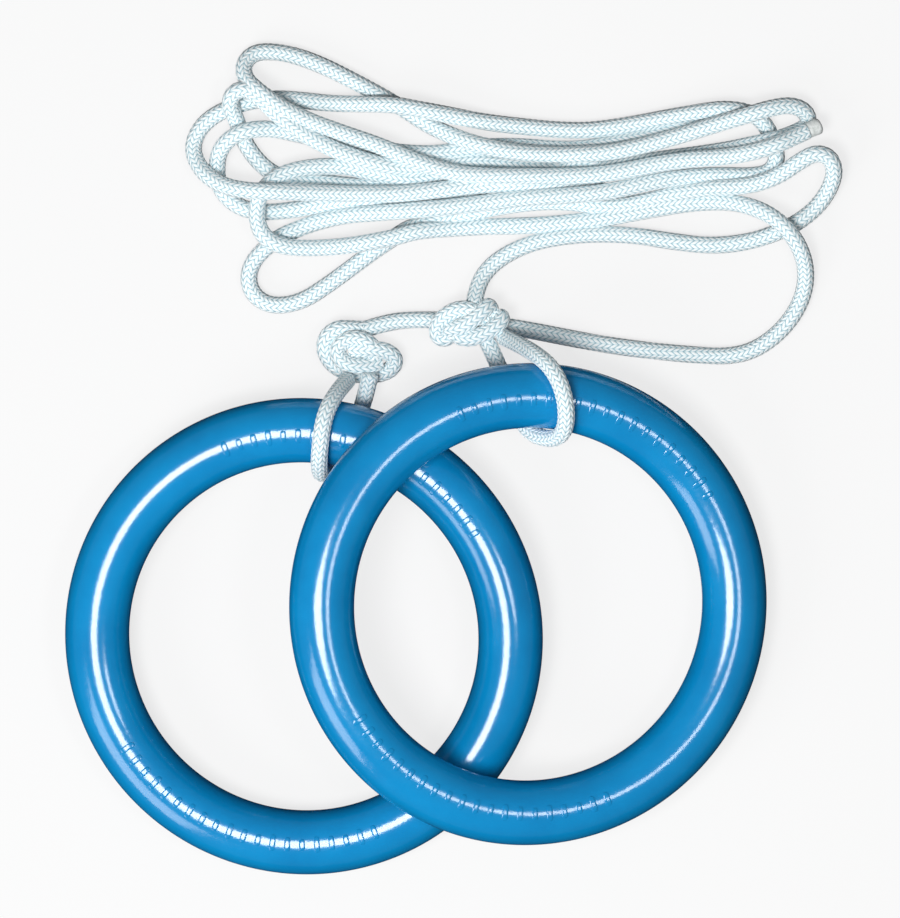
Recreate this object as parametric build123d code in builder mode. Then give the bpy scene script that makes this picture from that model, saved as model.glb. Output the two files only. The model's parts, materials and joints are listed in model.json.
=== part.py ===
from build123d import *
import math
import os

# A pair of gymnastics rings lying on a floor, with their ropes gathered in a loose hank.
# +Z is up, the floor is z = 0, and the origin is under the middle of the two rings.
# Millimetres.

# ---------------------------------------------------------------- driving dimensions
# Rings
ring_mean_d = 203.5          # across the middle of the tube
grip_d = 31.5                # thickness of the tube that the hand holds
wall = 3.5                   # thickness of the moulded shells
tongue_h = 1.6               # tongue on the lower shell's rims
tongue_w = 1.3
groove_clear = 0.1           # slack between tongue and groove
left_centre = Vector(-54.6, -8.0)
right_centre = Vector(57.4, 10.4)
left_loop_turn = 10.0        # degrees clockwise from the ring's top
right_loop_turn = 3.0
ring_gap = 0.6               # between the two rings where one lies on the other

# Ropes
rope_d = 8.0
loop_gap = 0.8               # slack between a rope loop and the tube it goes round
floor_gap = 0.1              # between the floor and a rope that a ring stands on
rope_gap = 0.3               # between the right knot and the rope that it lies on
tip_l = 7.0                  # heat-sealed end of a rope
tip_gap = 0.3                # slack round the end that lies under the hank

# The line that both loops swing about, through the lower ends of the knots
swing_z = 14.0
swing_start = Vector(-33.4, 117.5, swing_z)
swing_end = Vector(41.7, 138.7, swing_z)

# Knots and hank
left_knot_h = 16.0
right_knot_h = 15.0
hank_h = 24.0
hank_round = 5.0
knot_round = 3.5

# ---------------------------------------------------------------- rope routes
# Standing part of the left ring's rope: from its knot, under the other knot, round to the hank.
LEFT_LEAD = [
    (-26, 142, 6), (-15, 145.5, 4.5), (-2, 147, 4), (18, 146.5, 4), (39, 144.5, 4), (55, 142, 4),
    (73, 138.5, 4), (92, 135, 4), (115, 132, 4), (138, 130, 4), (153, 129.5, 4), (165, 132.5, 4),
    (176, 140, 4), (184.5, 150, 4), (189.5, 161, 4), (190.5, 172.5, 6.5), (187.5, 183.5, 11.5),
    (181, 193, 13.5), (171.5, 200, 11), (160, 204, 7), (148, 205.3, 4.5),
]
# Standing part of the right ring's rope: out of the top of its knot, right, and folded back.
RIGHT_LEAD = [
    (28.5, 154, 14), (29.5, 163, 8.5), (34.5, 172, 4.5), (43.5, 179, 4), (55, 184.2, 4), (69, 187.6, 4),
    (87, 189.3, 4), (107, 188.5, 4), (126, 185.4, 4), (144, 183.4, 4), (161, 185.2, 4), (175, 189.5, 4),
    (187, 195.5, 4), (196, 203, 4.5), (202, 212, 7), (204.5, 220.5, 10), (202, 227.5, 13),
    (195, 229.5, 14.5), (187, 225, 13.5), (178, 218.5, 11), (167, 214, 9), (156, 212.5, 8), (145, 212, 7.5),
]
# A loop round a ring, in that ring's own directions at the loop: outward, along the tube, upward.
# The first and last points stand on the swing line and are worked out below.
LEFT_LOOP_ALONG = [-4.0, -6.8, -5.9, -5.0, -3.5, 0.5, 8.0]
RIGHT_LOOP_ALONG = [-2.0, 6.5, 10.8, 10.0, -1.0, -8.5, -15.0]
LOOP_TURN_STEP = 45.0
LOOP_FIRST_TURN = 22.5

# Places along the swing line where the legs of each loop leave the knot
left_legs_at = (0.0, 11.7)
right_legs_at = (79.5, 71.2)

# Outlines, seen from above
LEFT_KNOT = [(-48, 142), (-36, 147.5), (-20, 146.5), (-7, 139), (-8, 129), (-25, 126), (-41, 121), (-49, 130)]
RIGHT_KNOT = [(7, 146), (14, 155), (28, 157), (41, 154.5), (46, 148), (43, 144), (26, 140), (11, 138)]
HANK = [
    (-87.5, 272), (-82, 281), (-70, 284), (-54, 281), (-12, 259.5), (20, 253.5), (50, 248), (84, 244.5),
    (115, 248.5), (150, 256.5), (185, 256.5), (195, 249.5), (189.5, 239), (178, 229.5), (168, 219.5),
    (150, 217), (149, 200), (120, 197.5), (84, 192.6), (45, 190), (10, 187.5), (-13, 181), (-38, 163.5),
    (-65, 149.5), (-80, 153), (-86, 167), (-80, 184), (-94, 200), (-110, 218), (-113, 236), (-104, 248),
    (-90, 256),
]

# Where the sealed end of each rope begins, and which way it points
LEFT_TIP = (191, 240, 12.5)
LEFT_TIP_WAY = (9, 4, -3)
RIGHT_TIP = (145.5, 245.5, 4)
RIGHT_TIP_WAY = (9, 2, 0)

# ---------------------------------------------------------------- values worked out from them
ring_r = ring_mean_d / 2
grip_r = grip_d / 2
rope_r = rope_d / 2
loop_r = grip_r + loop_gap + rope_r      # middle of the rope to the middle of the tube
rope_lift = rope_d + loop_gap + floor_gap   # the left ring's loop passes between it and the floor


def around(turn):
    """The direction from a ring's middle to a place so many degrees clockwise from its top."""
    return Vector(math.sin(math.radians(turn)), math.cos(math.radians(turn)))


def ring_plane(centre, height, slope):
    """The middle plane of a ring that rises by slope (a vector) across the floor."""
    normal = Vector(-slope.X, -slope.Y, 1)
    across = Vector(1, 0, slope.X)
    return Plane(origin=(centre.X, centre.Y, height), x_dir=across, z_dir=normal)


def left_plane():
    """The left ring: one side on the floor, the other on the rope of its loop."""
    tilt = math.asin(rope_lift / ring_mean_d)
    return ring_plane(left_centre, grip_r + ring_r * math.sin(tilt), around(left_loop_turn) * math.tan(tilt))


def right_plane(lower):
    """The right ring: its far side on the floor, its near side on the left ring at two places."""
    apart = right_centre - left_centre
    half = apart.length / 2
    toward = -apart.normalized()
    aside = Vector(toward.Y, -toward.X)
    reach = math.sqrt(ring_r**2 - half**2)
    middle = (left_centre + right_centre) * 0.5
    lower_slope = Vector(-lower.z_dir.X / lower.z_dir.Z, -lower.z_dir.Y / lower.z_dir.Z)
    along = lower_slope.dot(aside)
    lower_height = lower.origin.Z + lower_slope.dot(middle - left_centre)
    rise = 0.2
    for _ in range(30):
        # the tubes cross askew, so the upright distance between their middles is more than a diameter
        upper_way = Vector(reach, half, -rise * reach)
        lower_way = Vector(reach, -half, 0)
        normal = lower_way.cross(upper_way).normalized()
        upright = (grip_d + ring_gap) / normal.Z
        drop = ring_r * math.sin(math.atan(math.hypot(rise, along)))
        rise = (lower_height + upright - grip_r) / (half + drop / rise)
    tilt = math.atan(math.hypot(rise, along))
    return ring_plane(right_centre, grip_r + ring_r * math.sin(tilt), toward * rise + aside * along)


def make_shell(plane, side):
    """Half of a hollow ring: side is 1 for the upper shell and -1 for the lower one."""
    section = Plane(origin=plane.origin, x_dir=plane.x_dir, z_dir=-plane.y_dir)
    rim_middle = grip_r - wall / 2
    with BuildPart() as shell:
        with BuildSketch(section):
            with Locations((ring_r, 0)):
                Circle(grip_r)
                Circle(grip_r - wall, mode=Mode.SUBTRACT)
            with Locations((ring_r, -side * grip_r)):
                Rectangle(2 * grip_d, grip_d, mode=Mode.SUBTRACT)
            for rim in (ring_r - rim_middle, ring_r + rim_middle):
                if side < 0:
                    with Locations((rim, 0)):
                        Rectangle(tongue_w, 2 * tongue_h)
                else:
                    with Locations((rim, 0)):
                        Rectangle(tongue_w + 2 * groove_clear, 2 * (tongue_h + groove_clear), mode=Mode.SUBTRACT)
        revolve(axis=Axis(plane.origin, plane.z_dir))
    return shell.part


def corner_radii(points):
    """The largest even arcs that a route's runs leave room for."""
    radii = []
    for before, here, after in zip(points, points[1:], points[2:]):
        half_turn = math.radians((here - before).get_angle(after - here) / 2)
        shorter = min((here - before).length, (after - here).length)
        radii.append(0.45 * shorter / math.tan(half_turn))
    return radii


def make_rope(route, name):
    """A plain tube of rope along a route of straight runs joined by arcs."""
    points = [Vector(p) for p in route]
    radii = corner_radii(points)
    with BuildPart() as rope:
        with BuildLine() as path:
            FilletPolyline(*points, radius=radii)
        with BuildSketch(Plane(origin=points[0], z_dir=points[1] - points[0])):
            Circle(rope_r)
        sweep()
    length = path.wire().length
    spare = rope.part.volume / (math.pi * rope_r**2 * length)
    print(f"{name}: {length:.0f} mm, tightest arc {min(radii):.1f} mm, volume ratio {spare:.4f}")
    return rope.part


def swing_point(distance):
    """A place on the line that the loops swing about."""
    return swing_start + (swing_end - swing_start).normalized() * distance


def loop_route(plane, turn, along, legs_at):
    """The route of a loop from one leg, over the tube, through the ring and back under it."""
    outward = Vector(*around(turn), 0)
    flat = outward - plane.z_dir * outward.dot(plane.z_dir)
    flat = flat.normalized()
    sideways = flat.cross(plane.z_dir)
    tube_middle = plane.origin + flat * ring_r
    corner_r = loop_r / math.cos(math.radians(LOOP_TURN_STEP / 2))
    route = [swing_point(legs_at[0])]
    for step, aside in enumerate(along):
        angle = math.radians(LOOP_FIRST_TURN + step * LOOP_TURN_STEP)
        at = flat * (corner_r * math.cos(angle)) + plane.z_dir * (corner_r * math.sin(angle))
        route.append(tube_middle + at + sideways * aside)
    route.append(swing_point(legs_at[1]))
    return route


def make_loop(plane, turn, along, legs_at, name):
    """A rope loop with round ends that turn in place as the ring is lifted."""
    route = loop_route(plane, turn, along, legs_at)
    tube = make_rope(route, name)
    with BuildPart() as loop:
        add(tube)
        with Locations(route[0], route[-1]):
            Sphere(rope_r)
    return loop.part


def make_lump(outline, bottom, height, rounding):
    """A closed form with a smooth outline and a rounded top edge."""
    points = [Vector(*p) for p in outline]
    radii = corner_radii([points[-1], *points, points[0]])
    with BuildPart() as lump:
        with BuildSketch(Plane.XY.offset(bottom)):
            with BuildLine():
                FilletPolyline(*points, radius=radii, close=True)
            make_face()
        extrude(amount=height)
        fillet(lump.faces().sort_by(Axis.Z)[-1].edges(), rounding)
    return lump.part


def make_tip(end, way):
    """A rope's heat-sealed end: a short drum with a melted, rounded rim."""
    with BuildPart() as tip:
        with BuildSketch(Plane(origin=end, z_dir=way)):
            Circle(rope_r)
        extrude(amount=tip_l)
        far_face = tip.faces().sort_by(Axis(end, way))[-1]
        chamfer(far_face.edges(), rope_r / 5)
    return tip.part


def keep(part, name):
    part.label = name
    export_step(part, f"parts/{name}.step")
    box = part.bounding_box()
    print(f"{name}: {len(part.solids())} solid, z {box.min.Z:.2f} to {box.max.Z:.2f}")


# ---------------------------------------------------------------- the pieces
os.makedirs("parts", exist_ok=True)

lower_plane = left_plane()
upper_plane = right_plane(lower_plane)

keep(make_shell(lower_plane, -1), "left_ring_lower_shell")
keep(make_shell(lower_plane, 1), "left_ring_upper_shell")
keep(make_shell(upper_plane, -1), "right_ring_lower_shell")
keep(make_shell(upper_plane, 1), "right_ring_upper_shell")

keep(make_loop(lower_plane, left_loop_turn, LEFT_LOOP_ALONG, left_legs_at, "left_loop"), "left_loop")
keep(make_loop(upper_plane, right_loop_turn, RIGHT_LOOP_ALONG, right_legs_at, "right_loop"), "right_loop")

keep(make_rope(LEFT_LEAD, "left_rope_lead"), "left_rope_lead")
keep(make_rope(RIGHT_LEAD, "right_rope_lead"), "right_rope_lead")

keep(make_lump(LEFT_KNOT, 0, left_knot_h, knot_round), "left_knot")
right_knot_z = rope_d + rope_gap         # it lies on the other rope
keep(make_lump(RIGHT_KNOT, right_knot_z, right_knot_h, knot_round), "right_knot")

# The hank's solid, with a recess in its underside where the right ring's rope ends.
with BuildPart() as hank:
    add(make_lump(HANK, 0, hank_h, hank_round))
    recess = Plane(origin=RIGHT_TIP, x_dir=RIGHT_TIP_WAY).offset(-rope_r)
    with Locations(recess.offset(-tip_gap)):
        Box(
            2 * (tip_l + tip_gap),
            rope_d + 2 * tip_gap,
            rope_d + 2 * tip_gap,
            align=(Align.CENTER, Align.CENTER, Align.MIN),
            mode=Mode.SUBTRACT,
        )
keep(hank.part, "rope_hank")
keep(make_tip(Vector(*LEFT_TIP), Vector(*LEFT_TIP_WAY)), "left_rope_tip")
keep(make_tip(Vector(*RIGHT_TIP), Vector(*RIGHT_TIP_WAY)), "right_rope_tip")
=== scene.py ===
import json
import math

import bmesh
import bpy
import numpy as np
from mathutils import Matrix, Vector


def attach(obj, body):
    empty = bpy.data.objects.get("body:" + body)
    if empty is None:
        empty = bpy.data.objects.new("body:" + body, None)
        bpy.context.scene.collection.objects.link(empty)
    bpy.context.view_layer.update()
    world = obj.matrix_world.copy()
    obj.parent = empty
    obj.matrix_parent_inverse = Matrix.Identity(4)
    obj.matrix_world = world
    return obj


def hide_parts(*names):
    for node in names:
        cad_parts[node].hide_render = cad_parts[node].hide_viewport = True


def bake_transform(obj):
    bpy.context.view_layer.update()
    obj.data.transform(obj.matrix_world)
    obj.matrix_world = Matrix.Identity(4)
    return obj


# A pair of gymnastics rings lying on a floor, one on the other, each tied into a loop of braided
# rope, with both ropes gathered in a loose hank. Metres.

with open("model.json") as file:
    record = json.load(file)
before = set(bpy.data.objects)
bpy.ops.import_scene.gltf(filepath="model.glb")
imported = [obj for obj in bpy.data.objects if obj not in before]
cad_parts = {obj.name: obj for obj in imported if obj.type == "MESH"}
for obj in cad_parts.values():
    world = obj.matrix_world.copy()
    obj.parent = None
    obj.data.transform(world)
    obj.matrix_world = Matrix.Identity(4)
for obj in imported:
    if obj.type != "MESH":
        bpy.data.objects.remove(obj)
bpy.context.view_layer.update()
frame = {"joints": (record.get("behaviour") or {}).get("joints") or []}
joints = {joint["name"]: joint for joint in frame["joints"]}

# ---------------------------------------------------------------- sizes
# Rings
RING_R = 0.10175             # to the middle of the tube
GRIP_R = 0.01575
WALL = 0.0035
SEAM_HALF = 0.00012          # half the width of the parting groove where the shells meet
SEAM_DEPTH = 0.00025
SHELL_STEPS = 288            # facets round a ring
GRIP_STEPS = 40              # facets round half of the tube

# Raised grip bars on top of each ring
BAR_W = 0.0030
BAR_HEIGHT = 0.00034
BAR_PITCH = 0.0074
BAR_LENGTHS = [0.0080, 0.0058, 0.0070]
BAR_RUN = (-21.0, 58.0)      # degrees clockwise from the ring's top, and again on the far side
BAR_CENTRE_R = 0.1006        # from the ring's middle to the middle of a bar
BAR_SIDES = 0.6              # how square a bar is from above, and in section: 1 is round
BAR_TOP = 0.7

# Rope
ROPE_D = 0.008
ROPE_R = ROPE_D / 2
ROPE_ROLL = 0.9              # how far the braid rolls one way, then the other, in radians
ROPE_TURN = 0.045            # and how much rope one radian of that swing takes
BRAID_PROUD = 0.00025        # how far the loose braid stands out all round
STRANDS = 12                 # columns of strands round the rope
BRAID_PITCH = 0.00285        # from one strand to the next, along the rope
LEAN = 0.90                  # how far a strand leans over its column, in pitches
RELIEF = 0.00042             # how deep the gaps between strands are
STRAND_ROUND = 0.8           # under 1 makes a strand's back broader
YARNS = 10                   # ridges across a strand
TAPER = 0.60                 # how much lower a strand is at its column's edges
LOOP_GAP = 0.0008            # slack between a loop and the ring it goes round
LOOP_R = GRIP_R + LOOP_GAP + ROPE_R
LOOP_TURN_STEP = 45.0        # degrees round the tube between the points of a loop
LOOP_FIRST_TURN = 22.5
ROUTE_STEPS = 16             # points read between two points of a route
LEFT_LOOP_ALONG = [-0.004, -0.0068, -0.0059, -0.005, -0.0035, 0.0005, 0.008]
RIGHT_LOOP_ALONG = [-0.002, 0.0065, 0.0108, 0.01, -0.001, -0.0085, -0.015]
LEFT_LOOP_TURN = 10.0
RIGHT_LOOP_TURN = 3.0
LEFT_LEGS_AT = (0.0, 0.0117)
RIGHT_LEGS_AT = (0.0795, 0.0712)

MM = 0.001

# Each rope's route in millimetres, from its knot to its melted end: first the stretch that lies
# free, as in the CAD model, then its runs in the hank, lower runs at 4 mm and crossings higher.
LEFT_ROPE = [
    (-26, 142, 6), (-15, 145.5, 4.5), (-2, 147, 4), (18, 146.5, 4), (39, 144.5, 4),
    (55, 142, 4), (73, 138.5, 4), (92, 135, 4), (115, 132, 4), (138, 130, 4),
    (153, 129.5, 4), (165, 132.5, 4), (176, 140, 4), (184.5, 150, 4), (189.5, 161, 4),
    (190.5, 172.5, 6.5), (187.5, 183.5, 11.5), (181, 193, 13.5), (171.5, 200, 11), (160, 204, 7),
    (148, 205.3, 4.5),
    # the lowest long run, leftwards
    (132, 204, 4), (114, 201, 4), (96, 197.5, 4), (79, 195, 4), (55, 193, 4), (31, 192.5, 4),
    (14, 191.5, 6), (0, 190.5, 11), (-10, 187.5, 11.5), (-23, 185, 12), (-35, 183, 9),
    (-47, 182, 8), (-59, 182, 10), (-68, 183.5, 12.5),
    # round the left end and back
    (-75, 188, 12.5), (-78, 195, 12), (-78, 203, 12), (-76, 209, 12), (-70, 216, 12),
    (-61, 220, 11), (-48, 222, 9), (-35, 222, 7), (-23, 219, 6), (-11, 216, 6), (-1, 215, 5.5),
    # the fold that the runs above hide
    (7, 216.5, 4.5), (16, 218, 5), (25, 217.5, 6), (29, 212, 6), (25, 206.5, 5), (16, 205.5, 4.5),
    (7, 207.5, 4), (-2, 210, 4), (-15, 211.5, 4), (-30, 212, 4),
    # leftwards beneath, and up round the second left turn
    (-45, 214, 4), (-57, 215, 4), (-66, 216, 4), (-73, 219.5, 4), (-79, 225, 4),
    (-84, 232, 4), (-87, 239, 4.5), (-89, 246, 7.5), (-91.5, 252, 12.5), (-89.5, 258, 15),
    (-83, 260.5, 15), (-76, 255.5, 14),
    # slantwise down to the middle, then rightwards beneath
    (-66, 245.5, 12.5), (-54, 237, 11), (-41, 230.5, 11), (-27, 225.5, 12),
    (-16, 222.5, 11.5), (-5, 221, 7), (4, 221.5, 4), (13, 222.5, 4), (26, 224.5, 4),
    (40, 223.5, 4), (53, 221.5, 4), (66, 220.5, 4), (80, 220.5, 4), (95, 222, 4),
    (110, 224.5, 4), (125, 226.5, 4), (140, 228.5, 4), (152, 230.5, 6.5), (163, 233, 11),
    (174, 235.5, 12.5), (180, 237, 8.5), (185, 239, 5.5),
    # round the right end and leftwards over the hank
    (190, 241.5, 4), (191.5, 246, 5), (188.5, 250.5, 7.5), (182, 252.5, 11), (173, 251, 14.5),
    (163, 248, 16), (150, 244, 13.5), (132, 238.5, 11.5), (115, 233.5, 11), (97, 229.5, 11),
    (79, 228, 11), (61, 228, 11), (46, 229.5, 11.5), (32, 232.5, 12), (20, 236, 8),
    (11, 239.5, 4.5), (4, 243, 4), (-6, 249.5, 4),
    # the highest turn on the left
    (-17, 256, 4), (-31, 263.5, 4), (-45, 270.5, 4), (-58, 275.5, 4), (-70, 278, 4),
    (-80, 277.5, 5), (-85, 272, 8), (-84, 265, 12),
    # slantwise down over the hank, and along it to the melted end
    (-77, 259, 16), (-66, 251, 14.5), (-52, 244, 11), (-35, 238, 11), (-17, 232, 11.5),
    (-1, 225, 12), (12, 220.5, 12), (25, 218, 13), (40, 217.5, 14.5), (55, 217.5, 14),
    (70, 217.5, 12), (86, 218, 11.5), (101, 220, 11), (117, 223.5, 11), (134, 226, 11.5),
    (150, 227, 14), (164, 229.5, 18), (176, 233, 19), (184.5, 237, 15), (191, 240, 12.5),
]
RIGHT_ROPE = [
    (28.5, 154, 14), (29.5, 163, 8.5), (34.5, 172, 4.5), (43.5, 179, 4), (55, 184.2, 4),
    (69, 187.6, 4), (87, 189.3, 4), (107, 188.5, 4), (126, 185.4, 4), (144, 183.4, 4),
    (161, 185.2, 4), (175, 189.5, 4), (187, 195.5, 4), (196, 203, 4.5), (202, 212, 7),
    (204.5, 220.5, 10), (202, 227.5, 13), (195, 229.5, 14.5), (187, 225, 13.5), (178, 218.5, 11),
    (167, 214, 9), (156, 212.5, 8), (145, 212, 7.5),
    # leftwards, beneath the run that comes back over it
    (130, 209.5, 6.5), (115, 206, 5), (101, 203, 4), (90, 202.5, 4), (77, 204.5, 4),
    (63, 205, 4), (48, 203.5, 4), (34, 201, 4), (20, 197.5, 4), (7, 195, 4), (-4, 192, 4),
    # round the lowest turn on the left
    (-13, 186, 4), (-24, 178.5, 4), (-34, 171, 4), (-45, 163, 4), (-55, 156.5, 4),
    (-65, 153.5, 4), (-74, 154, 4), (-81, 159, 4), (-83.5, 167, 4), (-81, 175, 4),
    (-75, 181.5, 4), (-68, 187, 4),
    # rightwards along the hank
    (-59, 191, 4), (-48, 195, 4.5), (-35, 198, 6), (-17, 199.5, 9), (2, 201, 11.5),
    (19, 202.5, 12), (34, 204.5, 12), (50, 206.5, 12), (65, 207.5, 12), (80, 208.5, 12),
    (94, 210, 11.5), (107, 213, 10.5), (121, 216, 8), (135, 217.5, 5), (149, 218, 4),
    # round the inner turn on the right
    (162, 217.5, 4), (172, 219, 4), (176, 225, 4), (175, 232, 4), (172, 239.5, 4),
    (168, 245.5, 5), (160.5, 249.5, 8), (150, 250.5, 9),
    # the highest long run, leftwards
    (139, 249, 8), (125, 246.5, 6), (110, 243.5, 4.5), (95, 241, 4), (82, 239.5, 4),
    (67, 240, 4), (51, 241.5, 4), (34, 243.5, 5.5), (17, 247, 9), (2, 250, 12),
    (-12, 252.5, 12), (-28, 252.5, 8.5), (-42, 252.5, 5), (-56, 254, 4), (-68, 255, 4),
    # round the widest turn on the left
    (-80, 254, 4), (-91, 251, 4), (-101, 246, 4), (-107.5, 239.5, 4), (-110.5, 231.5, 4.5),
    (-108.5, 224, 7), (-102.5, 217, 12), (-94, 212.5, 15), (-84, 210.5, 19), (-71.5, 210, 20),
    # rightwards, and down into the hank
    (-58, 209.5, 17), (-43, 209, 13.5), (-27, 208.5, 12), (-11, 208.5, 12), (6, 210, 11.5),
    (21, 212, 11.5), (37, 213.5, 11), (50, 213.5, 10), (61, 213.5, 8), (72, 213.5, 6),
    # the fold that the runs above hide
    (80, 213, 4.5), (87, 214, 4), (90, 219, 4), (87, 223.5, 4), (79, 224, 4), (68, 220, 4), (57, 216.5, 4),
    (43, 215.5, 4), (29, 211, 4), (14, 204.5, 4),
    # leftwards beneath, and round the inner turn on the left
    (-3, 204, 4), (-18, 204.5, 4), (-35, 205, 4), (-48, 203, 4), (-60, 200.5, 4),
    (-74, 199, 4), (-85, 200.5, 4), (-93, 205.5, 4), (-97.5, 212, 4), (-98.5, 219.5, 5),
    (-97.5, 228, 8), (-92.5, 235, 11.5), (-84, 239.5, 12.5), (-73.5, 240.5, 8.5),
    # rightwards beneath to the hidden end
    (-63, 238.5, 4.5), (-52, 236, 4), (-40, 234.5, 4), (-26, 232, 4), (-12, 229, 4),
    (2, 228, 4), (12, 228.5, 4), (26, 231, 4), (40, 232, 4), (54, 231.5, 4), (68, 230.5, 4),
    (80, 230.5, 4), (92, 232.5, 4), (106, 235, 4), (119, 238, 4), (132.5, 242, 4),
    (145.5, 245.5, 4),
]

# The strands of each knot
LEFT_KNOT_STRANDS = [
    [
        (-0.0262, 0.1422, 0.006), (-0.0324, 0.1425, 0.0075), (-0.0388, 0.1428, 0.0092),
        (-0.0440, 0.1390, 0.0096), (-0.0456, 0.1330, 0.0088), (-0.0432, 0.1268, 0.0066),
        (-0.0383, 0.1222, 0.0048), (-0.0314, 0.1202, 0.0044), (-0.0246, 0.1227, 0.0052),
        (-0.0206, 0.1277, 0.0075), (-0.0211, 0.1336, 0.0104), (-0.0250, 0.1372, 0.0118),
        (-0.0314, 0.1384, 0.0119), (-0.0368, 0.1360, 0.0119), (-0.0390, 0.1311, 0.0119),
        (-0.0358, 0.1262, 0.0119), (-0.0300, 0.1242, 0.0118), (-0.0236, 0.1245, 0.0100),
        (-0.0180, 0.1255, 0.0070),
    ],
    [
        (-0.0324, 0.1321, 0.0096), (-0.0265, 0.1326, 0.0107), (-0.0196, 0.1327, 0.0107),
        (-0.0137, 0.1314, 0.0092), (-0.0102, 0.1272, 0.0068), (-0.0127, 0.1224, 0.0052),
        (-0.0187, 0.1200, 0.0046), (-0.0262, 0.1192, 0.0046), (-0.0330, 0.1205, 0.0060),
    ],
]
RIGHT_KNOT_STRANDS = [
    [
        (0.0285, 0.1540, 0.0140), (0.0262, 0.1492, 0.0140), (0.0216, 0.1448, 0.0132),
        (0.0176, 0.1402, 0.0124), (0.0138, 0.1377, 0.0123), (0.0105, 0.1395, 0.0123),
        (0.0104, 0.1444, 0.0134), (0.0142, 0.1492, 0.0154), (0.0200, 0.1526, 0.0170),
        (0.0265, 0.1530, 0.0172), (0.0315, 0.1506, 0.0158), (0.0345, 0.1465, 0.0140),
    ],
    [
        (0.0165, 0.1425, 0.0150), (0.0205, 0.1432, 0.0176), (0.0252, 0.1456, 0.0190),
        (0.0300, 0.1490, 0.0190), (0.0338, 0.1526, 0.0178), (0.0360, 0.1546, 0.0152),
        (0.0368, 0.1524, 0.0128), (0.0350, 0.1480, 0.0124),
    ],
    [
        (0.0190, 0.1410, 0.0140), (0.0222, 0.1386, 0.0160), (0.0275, 0.1384, 0.0174),
        (0.0330, 0.1404, 0.0182), (0.0385, 0.1436, 0.0178), (0.0420, 0.1468, 0.0160),
        (0.0424, 0.1494, 0.0136), (0.0392, 0.1480, 0.0123),
    ],
]


# ---------------------------------------------------------------- materials
def new_material(name):
    """A material with its nodes, and the shader at their end."""
    material = bpy.data.materials.new(name)
    material.use_nodes = True
    return material, material.node_tree, material.node_tree.nodes["Principled BSDF"]


def sum_node(tree, operation, first, second=0.0, third=0.0):
    """A Math node; each of its inputs is a number or another node's output."""
    node = tree.nodes.new("ShaderNodeMath")
    node.operation = operation
    for socket, value in zip(node.inputs, (first, second, third)):
        if isinstance(value, bpy.types.NodeSocket):
            tree.links.new(value, socket)
        else:
            socket.default_value = value
    return node.outputs[0]


def noise_node(tree, place, scale, detail=3.0, roughness=0.5):
    node = tree.nodes.new("ShaderNodeTexNoise")
    tree.links.new(place, node.inputs["Vector"])
    node.inputs["Scale"].default_value = scale
    node.inputs["Detail"].default_value = detail
    node.inputs["Roughness"].default_value = roughness
    return node.outputs["Fac"]


def ramp_node(tree, value, stops):
    """A Color Ramp with these (position, colour) stops."""
    node = tree.nodes.new("ShaderNodeValToRGB")
    ramp = node.color_ramp
    while len(ramp.elements) < len(stops):
        ramp.elements.new(0.5)
    for element, (position, colour) in zip(ramp.elements, stops):
        element.position = position
        element.color = (*colour, 1.0)
    tree.links.new(value, node.inputs["Fac"])
    return node.outputs["Color"]


def bump_node(tree, height, distance, strength=1.0):
    node = tree.nodes.new("ShaderNodeBump")
    node.inputs["Distance"].default_value = distance
    node.inputs["Strength"].default_value = strength
    tree.links.new(height, node.inputs["Height"])
    return node.outputs["Normal"]


def ring_plastic():
    """Glossy moulded plastic, mid blue, with flow marks and a faint ripple in its gloss."""
    material, tree, shader = new_material("ring plastic")
    place = tree.nodes.new("ShaderNodeTexCoord").outputs["Object"]
    cloudy = noise_node(tree, place, 26.0, 4.0, 0.6)
    colour = ramp_node(tree, cloudy, [
        (0.30, (0.0015, 0.200, 0.465)),
        (0.55, (0.0020, 0.232, 0.520)),
        (0.75, (0.0030, 0.255, 0.560)),
    ])
    tree.links.new(colour, shader.inputs["Base Color"])
    scuffs = noise_node(tree, place, 180.0, 5.0, 0.7)
    rough = sum_node(tree, "MULTIPLY_ADD", scuffs, 0.12, 0.12)
    tree.links.new(rough, shader.inputs["Roughness"])
    ripple = noise_node(tree, place, 420.0, 2.0, 0.5)
    tree.links.new(bump_node(tree, ripple, 0.00006), shader.inputs["Normal"])
    shader.inputs["IOR"].default_value = 1.5
    shader.inputs["Coat Weight"].default_value = 0.25
    shader.inputs["Coat Roughness"].default_value = 0.08
    return material


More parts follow.
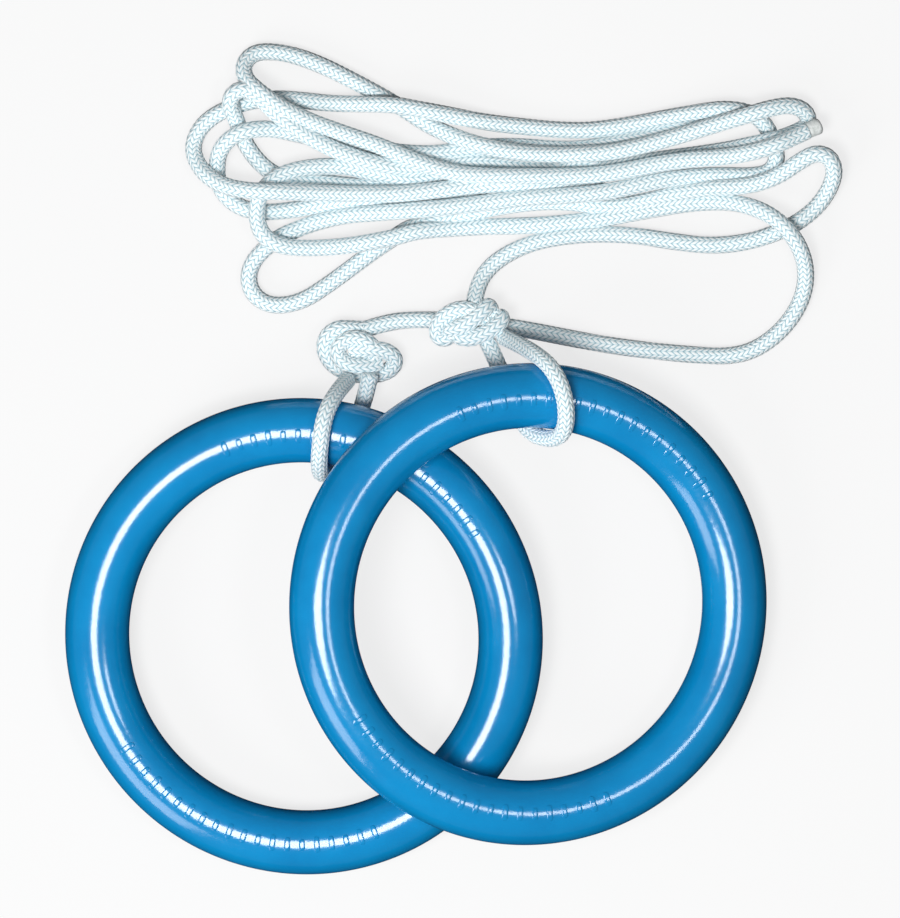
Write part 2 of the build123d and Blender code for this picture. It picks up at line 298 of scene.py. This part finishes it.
def rope_braid():
    """White braided rope: strands that lean one way and the other, with pale shade between them."""
    material, tree, shader = new_material("rope braid")
    uv = tree.nodes.new("ShaderNodeUVMap")
    uv.uv_map = "braid"
    split = tree.nodes.new("ShaderNodeSeparateXYZ")
    tree.links.new(uv.outputs["UV"], split.inputs[0])
    turn, along = split.outputs["X"], split.outputs["Y"]
    zigzag = sum_node(tree, "PINGPONG", sum_node(tree, "MULTIPLY", turn, STRANDS), 1.0)
    zigzag = sum_node(tree, "MULTIPLY_ADD", zigzag, 2.0, -1.0)
    wave = sum_node(tree, "MULTIPLY_ADD", zigzag, LEAN / 2, along)
    strand = sum_node(tree, "SINE", sum_node(tree, "MULTIPLY", wave, math.pi))
    strand = sum_node(tree, "POWER", sum_node(tree, "ABSOLUTE", strand), STRAND_ROUND)
    edge = sum_node(tree, "MULTIPLY", zigzag, zigzag)
    height = sum_node(tree, "MULTIPLY", strand, sum_node(tree, "MULTIPLY_ADD", edge, -TAPER, 1.0))
    # painted shade: the colour runs from dark cyan-grey in the gaps between strands and at their column
    # edges to near-white on the strands' backs
    colour = ramp_node(tree, height, [
        (0.05, (0.250, 0.385, 0.450)),
        (0.28, (0.460, 0.650, 0.715)),
        (0.52, (0.740, 0.860, 0.890)),
        (0.80, (0.930, 0.965, 0.970)),
    ])
    tree.links.new(colour, shader.inputs["Base Color"])
    # the single yarns of a strand run along its lean
    yarn = sum_node(tree, "SINE", sum_node(tree, "MULTIPLY", wave, math.pi * YARNS))
    place = tree.nodes.new("ShaderNodeTexCoord").outputs["Object"]
    fuzz = noise_node(tree, place, 2600.0, 2.0, 0.6)
    fine = sum_node(tree, "MULTIPLY_ADD", yarn, 0.10, sum_node(tree, "MULTIPLY", fuzz, 0.25))
    fine = sum_node(tree, "ADD", fine, height)
    tree.links.new(bump_node(tree, fine, 0.0002, 0.6), shader.inputs["Normal"])
    shader.inputs["Roughness"].default_value = 0.62
    shader.inputs["Sheen Weight"].default_value = 0.25
    shader.inputs["Sheen Roughness"].default_value = 0.5
    return material


def melted_end():
    """Heat-sealed rope fibre: off-white, waxy and a little uneven."""
    material, tree, shader = new_material("melted rope end")
    place = tree.nodes.new("ShaderNodeTexCoord").outputs["Object"]
    cloudy = noise_node(tree, place, 500.0, 3.0, 0.6)
    colour = ramp_node(tree, cloudy, [
        (0.30, (0.560, 0.600, 0.580)),
        (0.60, (0.800, 0.830, 0.815)),
    ])
    tree.links.new(colour, shader.inputs["Base Color"])
    tree.links.new(bump_node(tree, cloudy, 0.0003), shader.inputs["Normal"])
    shader.inputs["Roughness"].default_value = 0.42
    return material


def pale_floor():
    """A plain pale floor that glows, so that shadows on it stay faint."""
    material, tree, shader = new_material("pale floor")
    shader.inputs["Base Color"].default_value = (0.16, 0.16, 0.16, 1)
    shader.inputs["Roughness"].default_value = 1.0
    shader.inputs["Specular IOR Level"].default_value = 0.0
    shader.inputs["Emission Color"].default_value = (1.0, 1.0, 1.0, 1)
    shader.inputs["Emission Strength"].default_value = 0.76
    return material


def dark_card():
    """What the undersides of the pieces reflect."""
    material, tree, shader = new_material("dark card")
    shader.inputs["Base Color"].default_value = (0.10, 0.11, 0.12, 1)
    shader.inputs["Roughness"].default_value = 1.0
    shader.inputs["Specular IOR Level"].default_value = 0.0
    return material


PLASTIC = ring_plastic()
BRAID = rope_braid()
MELTED = melted_end()


# ---------------------------------------------------------------- shared modelling
def finish_piece(name, form, material, smooth=True):
    """The bmesh as an object with its material; frees the bmesh."""
    mesh = bpy.data.meshes.new(name)
    form.to_mesh(mesh)
    form.free()
    mesh.materials.append(material)
    mesh.polygons.foreach_set("use_smooth", [smooth] * len(mesh.polygons))
    piece = bpy.data.objects.new(name, mesh)
    bpy.context.scene.collection.objects.link(piece)
    return piece


# ---------------------------------------------------------------- rings
class Ring:
    """A ring's middle, its axis and two directions across it, from the joint it spins on."""

    def __init__(self, joint):
        self.centre = Vector(joint["pos_m"])
        self.axis = Vector(joint["axis"]).normalized()
        self.top = (Vector((0, 1, 0)) - self.axis * self.axis.y).normalized()
        self.right = self.top.cross(self.axis)

    def outward(self, turn):
        """The direction from the middle to a place so many degrees clockwise from the top."""
        angle = math.radians(turn)
        return self.right * math.sin(angle) + self.top * math.cos(angle)

    def place(self, across, over):
        """A point beside the ring's middle, on its right: across outward, over along the axis."""
        return self.centre + self.right * across + self.axis * over


def arc_points(form, ring, radius, start, stop):
    """A chain of edges round the tube's section, from one angle to another, in degrees."""
    angle = math.radians(start)
    first = form.verts.new(ring.place(RING_R + radius * math.cos(angle), radius * math.sin(angle)))
    bmesh.ops.spin(
        form,
        geom=[first],
        cent=ring.place(RING_R, 0),
        axis=ring.right.cross(ring.axis),
        angle=math.radians(stop - start),
        steps=GRIP_STEPS,
    )


def make_shell(name, ring, side, body):
    """The upper (side 1) or lower (side -1) half of a hollow ring, up to its parting groove."""
    form = bmesh.new()
    rim = math.degrees(math.asin(SEAM_HALF / GRIP_R))
    arc_points(form, ring, GRIP_R, side * rim, side * (180 - rim))
    arc_points(form, ring, GRIP_R - WALL, 0, side * 180)
    form.verts.ensure_lookup_table()
    outer, inner = form.verts[: GRIP_STEPS + 1], form.verts[GRIP_STEPS + 1 :]
    for end, way in ((0, 1), (-1, -1)):
        groove = form.verts.new(ring.place(RING_R + way * (GRIP_R - SEAM_DEPTH), 0))
        form.edges.new((outer[end], groove))
        form.edges.new((groove, inner[end]))
    bmesh.ops.spin(
        form,
        geom=form.verts[:] + form.edges[:],
        cent=ring.centre,
        axis=ring.axis,
        angle=math.tau,
        steps=SHELL_STEPS,
        use_merge=True,
    )
    bmesh.ops.remove_doubles(form, verts=form.verts, dist=1e-6)
    bmesh.ops.recalc_face_normals(form, faces=form.faces)
    for edge in form.edges:
        if edge.is_manifold and edge.calc_face_angle() > math.radians(30):
            edge.smooth = False
    shell = finish_piece(name, form, PLASTIC)
    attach(shell, body)
    return shell


def squared(value, power):
    """Pushes a sphere's side outward, toward a box with round corners."""
    return math.copysign(abs(value) ** power, value)


def make_bars(name, ring, body):
    """Low raised bars in two runs on top of a ring, each lying on the round of the tube."""
    form = bmesh.new()
    blank = bmesh.new()
    bmesh.ops.create_uvsphere(blank, u_segments=20, v_segments=12, radius=1)
    drawn = bpy.data.meshes.new("bar")
    count = round(math.radians(BAR_RUN[1] - BAR_RUN[0]) * BAR_CENTRE_R / BAR_PITCH) + 1
    for number in range(2 * count):
        turn = BAR_RUN[0] + (BAR_RUN[1] - BAR_RUN[0]) * (number % count) / (count - 1)
        turn += 180 * (number // count)
        length = BAR_LENGTHS[number % len(BAR_LENGTHS)]
        bar = blank.copy()
        for vert in bar.verts:
            aside = squared(vert.co.x, BAR_SIDES) * BAR_W / 2
            tilt = (BAR_CENTRE_R - RING_R + squared(vert.co.y, BAR_SIDES) * length / 2) / GRIP_R
            lift = GRIP_R + squared(vert.co.z, BAR_TOP) * BAR_HEIGHT
            outward = ring.outward(turn + math.degrees(aside / BAR_CENTRE_R))
            over = ring.axis * lift * math.cos(tilt)
            vert.co = ring.centre + outward * (RING_R + lift * math.sin(tilt)) + over
        bar.to_mesh(drawn)
        bar.free()
        form.from_mesh(drawn)
    blank.free()
    bpy.data.meshes.remove(drawn)
    bmesh.ops.recalc_face_normals(form, faces=form.faces)
    bars = finish_piece(name, form, PLASTIC)
    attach(bars, body)
    return bars


# ---------------------------------------------------------------- rope
def smooth_line(route, spacing):
    """The route's NURBS spline, read as evenly spaced points."""
    curve = bpy.data.curves.new("route", "CURVE")
    curve.dimensions = "3D"
    curve.resolution_u = ROUTE_STEPS
    spline = curve.splines.new("NURBS")
    spline.points.add(len(route) - 1)
    for point, place in zip(spline.points, route):
        point.co = (*place, 1)
    spline.order_u = 3
    spline.use_endpoint_u = True
    holder = bpy.data.objects.new("route", curve)
    drawn = bpy.data.meshes.new_from_object(holder)
    points = np.array([vert.co for vert in drawn.vertices])
    bpy.data.objects.remove(holder)
    bpy.data.curves.remove(curve)
    bpy.data.meshes.remove(drawn)
    run = np.concatenate(([0], np.cumsum(np.linalg.norm(np.diff(points, axis=0), axis=1))))
    steps = round(run[-1] / spacing)
    even = np.linspace(0, run[-1], steps + 1)
    return np.column_stack([np.interp(even, run, points[:, axis]) for axis in range(3)]), run[-1]


def directions(line):
    """Two directions across the line at each of its points, which don't twist along it."""
    ahead = np.gradient(line, axis=0)
    ahead /= np.linalg.norm(ahead, axis=1)[:, None]
    side = np.cross(ahead[0], (0, 0, 1.0))
    sides = []
    for way in ahead:
        side = side - way * side.dot(way)
        side /= np.linalg.norm(side)
        sides.append(side)
    sides = np.array(sides)
    return sides, np.cross(ahead, sides)


def braid_height(turn, along):
    """How far the braid's surface stands in from the rope's full radius."""
    column = turn * STRANDS
    zigzag = 2 * np.abs((column + 1) % 2 - 1) - 1
    strand = np.abs(np.sin(math.pi * (along + zigzag * LEAN / 2))) ** STRAND_ROUND
    return RELIEF * (strand * (1 - TAPER * zigzag**2) - 1)


def braided_tube(form, line, length, around):
    """Adds a closed tube of braid along the line, with the UV map that its material reads."""
    rings = len(line)
    tube = bmesh.new()
    tube.loops.layers.uv.new("braid")
    bmesh.ops.create_grid(tube, x_segments=around, y_segments=rings - 1, size=1, calc_uvs=True)
    tube.verts.ensure_lookup_table()
    row = around + 1
    seam = {tube.verts[i * row + around]: tube.verts[i * row] for i in range(rings)}
    bmesh.ops.weld_verts(tube, targetmap=seam)
    open_edges = [edge for edge in tube.edges if edge.is_boundary]
    bmesh.ops.holes_fill(tube, edges=open_edges, sides=0)
    mesh = bpy.data.meshes.new("tube")
    tube.to_mesh(mesh)
    tube.free()
    flat = np.empty(len(mesh.vertices) * 3)
    mesh.vertices.foreach_get("co", flat)
    flat = flat.reshape(-1, 3)
    turn = (flat[:, 0] + 1) / 2
    number = np.rint((flat[:, 1] + 1) / 2 * (rings - 1)).astype(int)
    run = number / (rings - 1) * length
    radius = ROPE_R + BRAID_PROUD + braid_height(turn, run / BRAID_PITCH)
    angle = turn * math.tau + ROPE_ROLL * np.sin(run / ROPE_TURN)
    sides, ups = directions(line)
    across = np.cos(angle)[:, None] * sides[number] + np.sin(angle)[:, None] * ups[number]
    placed = line[number] + across * radius[:, None]
    mesh.vertices.foreach_set("co", placed.ravel())
    uv = np.empty(len(mesh.loops) * 2)
    layer = mesh.uv_layers["braid"].data
    layer.foreach_get("uv", uv)
    uv[1::2] *= length / BRAID_PITCH
    layer.foreach_set("uv", uv)
    form.from_mesh(mesh)
    bpy.data.meshes.remove(mesh)


def make_cord(name, route, spacing, around):
    """A braided rope along a route, and the points and length of its line."""
    line, length = smooth_line(route, spacing)
    form = bmesh.new()
    form.loops.layers.uv.new("braid")
    braided_tube(form, line, length, around)
    piece = finish_piece(name, form, BRAID)
    return piece, line, length


def swing_point(distance):
    """A place on the line that the loops swing about."""
    start = Vector(joints["left_loop_swing"]["pos_m"])
    end = Vector(joints["right_loop_swing"]["pos_m"])
    return start + (end - start).normalized() * distance


def loop_route(ring, turn, along, legs_at):
    """The route of a loop from one leg, over the tube, through the ring and back under it."""
    heading = Vector((math.sin(math.radians(turn)), math.cos(math.radians(turn)), 0))
    flat = (heading - ring.axis * heading.dot(ring.axis)).normalized()
    sideways = flat.cross(ring.axis)
    tube_middle = ring.centre + flat * RING_R
    corner_r = LOOP_R / math.cos(math.radians(LOOP_TURN_STEP / 2))
    route = [swing_point(legs_at[0])]
    for step, aside in enumerate(along):
        angle = math.radians(LOOP_FIRST_TURN + step * LOOP_TURN_STEP)
        across = flat * (corner_r * math.cos(angle)) + ring.axis * (corner_r * math.sin(angle))
        route.append(tube_middle + across + sideways * aside)
    route.append(swing_point(legs_at[1]))
    return route


def make_loop(name, ring, turn, along, legs_at):
    """A braided rope loop round its ring's tube, in place of the CAD loop."""
    route = loop_route(ring, turn, along, legs_at)
    loop, line, length = make_cord(f"{name}_braid", route, BRAID_PITCH / 6, 60)
    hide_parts(name)
    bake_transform(loop)
    return loop


def make_rope(name, route, replaced):
    """A free rope from its knot to its sealed end."""
    rope, line, _ = make_cord(name, route, BRAID_PITCH / 4, 36)
    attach(rope, "ropes")
    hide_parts(*replaced)
    return rope


def make_knot(name, strands):
    """A knot drawn tight, of strands that go over and under each other."""
    form = bmesh.new()
    form.loops.layers.uv.new("braid")
    for route in strands:
        line, length = smooth_line(route, BRAID_PITCH / 6)
        braided_tube(form, line, length, 60)
    knot = finish_piece(f"{name}_braid", form, BRAID)
    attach(knot, "ropes")
    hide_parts(name)
    return knot


def make_tip(name, end, way):
    """A rope's sealed end: the last of the braid, drawn in to a melted, rounded button."""
    way = way.normalized()
    across = way.orthogonal().normalized()
    form = bmesh.new()
    outline = [
        (0.0, -0.0015), (0.0034, -0.0010), (0.00385, 0.0), (0.00395, 0.0022), (0.0040, 0.0040),
        (0.00415, 0.0050), (0.0040, 0.0062), (0.0032, 0.0069), (0.0018, 0.0070), (0.0, 0.0067),
    ]
    verts = [form.verts.new(end + across * out + way * on) for out, on in outline]
    for a, b in zip(verts, verts[1:]):
        form.edges.new((a, b))
    bmesh.ops.spin(
        form,
        geom=form.verts[:] + form.edges[:],
        cent=end,
        axis=way,
        angle=math.tau,
        steps=48,
        use_merge=True,
    )
    bmesh.ops.remove_doubles(form, verts=form.verts, dist=1e-5)
    bmesh.ops.recalc_face_normals(form, faces=form.faces)
    tip = finish_piece(f"{name}_melted", form, MELTED)
    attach(tip, "ropes")
    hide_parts(name)
    return tip


# ---------------------------------------------------------------- the object
left_ring = Ring(joints["left_ring_spin"])
right_ring = Ring(joints["right_ring_spin"])
for body, ring in (("left_ring", left_ring), ("right_ring", right_ring)):
    for side, half in ((-1, "lower"), (1, "upper")):
        shell = make_shell(f"{body}_{half}_moulding", ring, side, body)
        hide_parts(f"{body}_{half}_shell")
    make_bars(f"{body}_grip_bars", ring, body)

lift = Vector((0, 0, BRAID_PROUD))
left_route = [Vector(point) * MM + lift for point in LEFT_ROPE]
right_route = [Vector(point) * MM + lift for point in RIGHT_ROPE]
left_tip = make_tip("left_rope_tip", left_route[-1], left_route[-1] - left_route[-2])
right_tip = make_tip("right_rope_tip", right_route[-1], right_route[-1] - right_route[-2])
make_rope("left_rope", left_route, ["left_rope_lead", "rope_hank"])
make_rope("right_rope", right_route, ["right_rope_lead", "rope_hank"])
make_knot("left_knot", LEFT_KNOT_STRANDS)
make_knot("right_knot", RIGHT_KNOT_STRANDS)
make_loop("left_loop", left_ring, LEFT_LOOP_TURN, LEFT_LOOP_ALONG, LEFT_LEGS_AT)
make_loop("right_loop", right_ring, RIGHT_LOOP_TURN, RIGHT_LOOP_ALONG, RIGHT_LEGS_AT)


# ---------------------------------------------------------------- floor, lights and camera
def make_floor():
    """A pale floor, and under it a dark card that is all the pieces reflect from below."""
    for name, height, material in (("floor", 0.0, pale_floor()), ("card", -0.002, dark_card())):
        form = bmesh.new()
        bmesh.ops.create_grid(form, x_segments=1, y_segments=1, size=6)
        bmesh.ops.translate(form, vec=(0, 0, height), verts=form.verts)
        sheet = finish_piece(name, form, material, smooth=False)
        sheet.visible_camera = name == "floor"
        for seen_by in ("visible_diffuse", "visible_glossy"):
            setattr(sheet, seen_by, name == "card")


def make_light(name, place, size, power):
    """A square lamp that faces the rings."""
    data = bpy.data.lights.new(name, "AREA")
    data.shape = "SQUARE"
    data.size = size
    data.energy = power
    lamp = bpy.data.objects.new(name, data)
    lamp.location = place
    lamp.rotation_euler = (LOOK_AT - Vector(place)).to_track_quat("-Z", "Y").to_euler()
    bpy.context.scene.collection.objects.link(lamp)


LOOK_AT = Vector((0.0167, 0.0791, 0.012))
CAMERA_WAY = Vector((0.080, 0.069, 0.9944))
CAMERA_FAR = 4.0
VIEW_HEIGHT = 0.4490         # what the picture spans, up and down, at LOOK_AT
SENSOR = 36.0

make_floor()
make_light("flash", (-0.35, -0.22, 2.2), 0.8, 41.0)
make_light("lamp", (0.95, -0.05, 2.1), 0.4, 7.0)
make_light("window", (-1.5, -1.3, 1.3), 1.2, 22.0)

world = bpy.data.worlds.new("room")
world.use_nodes = True
world.node_tree.nodes["Background"].inputs["Color"].default_value = (0.93, 0.97, 1.0, 1)
world.node_tree.nodes["Background"].inputs["Strength"].default_value = 0.15
bpy.context.scene.world = world
bpy.context.scene.view_settings.view_transform = "Standard"

camera_data = bpy.data.cameras.new("camera")
camera_data.sensor_fit = "VERTICAL"
camera_data.sensor_height = SENSOR
camera_data.lens = SENSOR * CAMERA_FAR / VIEW_HEIGHT
camera = bpy.data.objects.new("camera", camera_data)
camera.location = LOOK_AT + CAMERA_WAY * CAMERA_FAR
back = CAMERA_WAY.normalized()
across = Vector((0, 1, 0)).cross(back).normalized()
camera.rotation_euler = Matrix((across, back.cross(across), back)).transposed().to_euler()
bpy.context.scene.collection.objects.link(camera)
bpy.context.scene.camera = camera
